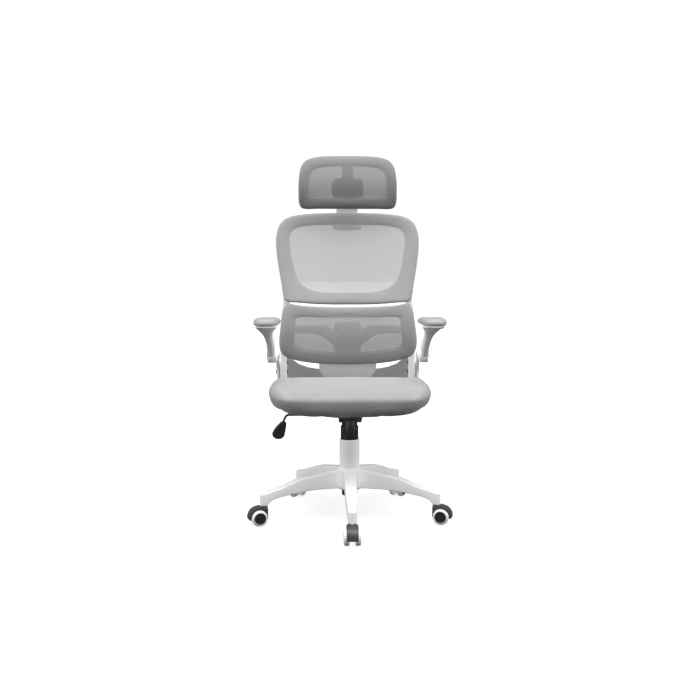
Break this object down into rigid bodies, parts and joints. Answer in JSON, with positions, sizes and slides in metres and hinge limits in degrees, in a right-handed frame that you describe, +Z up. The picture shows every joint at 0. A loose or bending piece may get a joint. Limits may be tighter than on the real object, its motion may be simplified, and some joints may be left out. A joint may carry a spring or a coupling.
{
  "type": "ergonomic swivel chair",
  "caption": "High-back swivel chair with knitted mesh back and headrest, lumbar pad, foam seat, flip-up arms, gas lift, tilt mechanism and a caster base.",
  "frame": {"origin": "on the floor at the column's axis, which is the middle of the footprint", "axes": "+Z up, -Y towards the front of the seat, +X to the left hand of a person sitting in the chair"},
  "size_m": [0.656, 0.6695, 1.195],
  "materials": {
    "base_plastic": "white glass-filled nylon, satin to gloss",
    "frame_plastic": "white moulded plastic, satin",
    "black_plastic": "black moulded plastic, fine grain",
    "black_steel": "black powder coat",
    "bright_steel": "zinc plated",
    "spring_steel": "oiled spring steel",
    "plywood": "raw birch plywood",
    "seat_fabric": "light grey knitted sandwich mesh over foam",
    "mesh_fabric": "light grey elastic knitted mesh",
    "arm_pad_foam": "grey soft-touch polyurethane",
    "wheel_tyre": "white polyurethane tyre with a black hub cap"
  },
  "bodies": {
    "base": {"base_star": "base_plastic", "gas_outer_tube": "black_steel", "gas_guide_bush": "black_plastic", "thrust_bearing": "bright_steel", "cover_lower": "base_plastic", "caster_stems": "bright_steel"},
    "rod": {"gas_piston_rod": "bright_steel", "gas_retaining_clip": "bright_steel"},
    "lift": {"gas_cylinder": "bright_steel", "tilt_housing": "black_steel", "cover_upper": "black_plastic", "tilt_pivot_pin": "bright_steel", "tension_spring": "spring_steel"},
    "cover_middle": {"cover_middle": "black_plastic"},
    "release_button": {"gas_release_button": "bright_steel"},
    "lock_slider": {"tilt_lock_slider": "black_plastic"},
    "lever": {"lever_rod": "black_steel", "lever_paddle": "black_plastic"},
    "seat": {"seat_plate": "black_steel", "seat_board": "plywood", "seat_cushion": "seat_fabric", "seat_bolts": "bright_steel", "back_bracket": "frame_plastic", "back_bolts": "black_steel", "back_frame": "frame_plastic", "upper_mesh": "mesh_fabric", "lumbar_frame": "black_plastic", "lumbar_mesh": "mesh_fabric", "lumbar_bracket": "black_plastic", "arm_bracket_left": "frame_plastic", "arm_bracket_right": "frame_plastic", "headrest_socket": "frame_plastic"},
    "tension_knob": {"tension_knob": "black_plastic"},
    "arm_left": {"arm_left": "frame_plastic", "arm_pad_left": "arm_pad_foam", "arm_pivot_left": "black_plastic"},
    "arm_right": {"arm_right": "frame_plastic", "arm_pad_right": "arm_pad_foam", "arm_pivot_right": "black_plastic"},
    "headrest_stem": {"headrest_stem": "frame_plastic"},
    "headrest": {"headrest_bracket": "black_plastic", "headrest_pin": "bright_steel", "headrest_frame": "black_plastic", "headrest_mesh": "mesh_fabric"},
    "caster_1": {"caster_hood_1": "black_plastic"},
    "wheel_left_1": {"caster_wheel_left_1": "wheel_tyre"},
    "wheel_right_1": {"caster_wheel_right_1": "wheel_tyre"},
    "caster_2": {"caster_hood_2": "black_plastic"},
    "wheel_left_2": {"caster_wheel_left_2": "wheel_tyre"},
    "wheel_right_2": {"caster_wheel_right_2": "wheel_tyre"},
    "caster_3": {"caster_hood_3": "black_plastic"},
    "wheel_left_3": {"caster_wheel_left_3": "wheel_tyre"},
    "wheel_right_3": {"caster_wheel_right_3": "wheel_tyre"},
    "caster_4": {"caster_hood_4": "black_plastic"},
    "wheel_left_4": {"caster_wheel_left_4": "wheel_tyre"},
    "wheel_right_4": {"caster_wheel_right_4": "wheel_tyre"},
    "caster_5": {"caster_hood_5": "black_plastic"},
    "wheel_left_5": {"caster_wheel_left_5": "wheel_tyre"},
    "wheel_right_5": {"caster_wheel_right_5": "wheel_tyre"}
  },
  "joints": [
    {"name": "seat_swivel", "type": "hinge", "parent": "base", "child": "rod", "pos_m": [0, 0, 0.2], "axis": [0, 0, 1], "continuous": true},
    {"name": "seat_height", "type": "slide", "parent": "rod", "child": "lift", "axis": [0, 0, 1], "range_m": [0, 0.08]},
    {"name": "cover_rise", "type": "slide", "parent": "base", "child": "cover_middle", "axis": [0, 0, 1], "range_m": [0, 0.04]},
    {"name": "tilt_lock", "type": "slide", "parent": "lift", "child": "lock_slider", "axis": [-1, 0, 0], "range_m": [0, 0.008]},
    {"name": "lever_lift", "type": "hinge", "parent": "lock_slider", "child": "lever", "pos_m": [-0.037, 0, 0.336], "axis": [0, 1, 0], "range_deg": [0, 6], "stiffness_Nm_per_rad": 2, "springref_deg": -14.32},
    {"name": "gas_button", "type": "slide", "parent": "lift", "child": "release_button", "axis": [0, 0, -1], "range_m": [0, 0.0052]},
    {"name": "seat_tilt", "type": "hinge", "parent": "lift", "child": "seat", "pos_m": [0, -0.05, 0.35], "axis": [-1, 0, 0], "range_deg": [0, 12], "stiffness_Nm_per_rad": 110, "springref_deg": -17.19, "deforming": ["tension_spring"]},
    {"name": "tension_turn", "type": "hinge", "parent": "seat", "child": "tension_knob", "pos_m": [0, -0.1, 0.3], "axis": [0, 0, 1], "range_deg": [-720, 720]},
    {"name": "arm_flip_left", "type": "hinge", "parent": "seat", "child": "arm_left", "pos_m": [-0.243, 0.19, 0.51], "axis": [-0.9848, -0.1736, 0], "range_deg": [0, 90]},
    {"name": "arm_flip_right", "type": "hinge", "parent": "seat", "child": "arm_right", "pos_m": [0.243, 0.19, 0.51], "axis": [-0.9848, 0.1736, 0], "range_deg": [0, 90]},
    {"name": "headrest_height", "type": "slide", "parent": "seat", "child": "headrest_stem", "axis": [0, 0.2588, 0.9659], "range_m": [0, 0.03]},
    {"name": "headrest_tilt", "type": "hinge", "parent": "headrest_stem", "child": "headrest", "pos_m": [0, 0.286, 1.09], "axis": [1, 0, 0], "range_deg": [-25, 15]},
    {"name": "caster_swivel_1", "type": "hinge", "parent": "base", "child": "caster_1", "pos_m": [0, -0.2886, 0.06], "axis": [0, 0, 1], "continuous": true},
    {"name": "wheel_left_1", "type": "hinge", "parent": "caster_1", "child": "wheel_left_1", "pos_m": [0, -0.3062, 0.025], "axis": [1, 0, 0], "continuous": true},
    {"name": "wheel_right_1", "type": "hinge", "parent": "caster_1", "child": "wheel_right_1", "pos_m": [0, -0.3062, 0.025], "axis": [1, 0, 0], "continuous": true},
    {"name": "caster_swivel_2", "type": "hinge", "parent": "base", "child": "caster_2", "pos_m": [0.27448, -0.08918, 0.06], "axis": [0, 0, 1], "continuous": true},
    {"name": "wheel_left_2", "type": "hinge", "parent": "caster_2", "child": "wheel_left_2", "pos_m": [0.29121, -0.09462, 0.025], "axis": [0.309, 0.9511, 0], "continuous": true},
    {"name": "wheel_right_2", "type": "hinge", "parent": "caster_2", "child": "wheel_right_2", "pos_m": [0.29121, -0.09462, 0.025], "axis": [0.309, 0.9511, 0], "continuous": true},
    {"name": "caster_swivel_3", "type": "hinge", "parent": "base", "child": "caster_3", "pos_m": [0.16964, 0.23348, 0.06], "axis": [0, 0, 1], "continuous": true},
    {"name": "wheel_left_3", "type": "hinge", "parent": "caster_3", "child": "wheel_left_3", "pos_m": [0.17998, 0.24772, 0.025], "axis": [-0.809, 0.5878, 0], "continuous": true},
    {"name": "wheel_right_3", "type": "hinge", "parent": "caster_3", "child": "wheel_right_3", "pos_m": [0.17998, 0.24772, 0.025], "axis": [-0.809, 0.5878, 0], "continuous": true},
    {"name": "caster_swivel_4", "type": "hinge", "parent": "base", "child": "caster_4", "pos_m": [-0.16964, 0.23348, 0.06], "axis": [0, 0, 1], "continuous": true},
    {"name": "wheel_left_4", "type": "hinge", "parent": "caster_4", "child": "wheel_left_4", "pos_m": [-0.17998, 0.24772, 0.025], "axis": [-0.809, -0.5878, 0], "continuous": true},
    {"name": "wheel_right_4", "type": "hinge", "parent": "caster_4", "child": "wheel_right_4", "pos_m": [-0.17998, 0.24772, 0.025], "axis": [-0.809, -0.5878, 0], "continuous": true},
    {"name": "caster_swivel_5", "type": "hinge", "parent": "base", "child": "caster_5", "pos_m": [-0.27448, -0.08918, 0.06], "axis": [0, 0, 1], "continuous": true},
    {"name": "wheel_left_5", "type": "hinge", "parent": "caster_5", "child": "wheel_left_5", "pos_m": [-0.29121, -0.09462, 0.025], "axis": [0.309, -0.9511, 0], "continuous": true},
    {"name": "wheel_right_5", "type": "hinge", "parent": "caster_5", "child": "wheel_right_5", "pos_m": [-0.29121, -0.09462, 0.025], "axis": [0.309, -0.9511, 0], "continuous": true}
  ],
  "couplings": [
    {"joint": "cover_rise", "follows": "seat_height", "ratio": 0.5},
    {"joint": "gas_button", "follows": "lever_lift", "m_per_rad": 0.048}
  ]
}
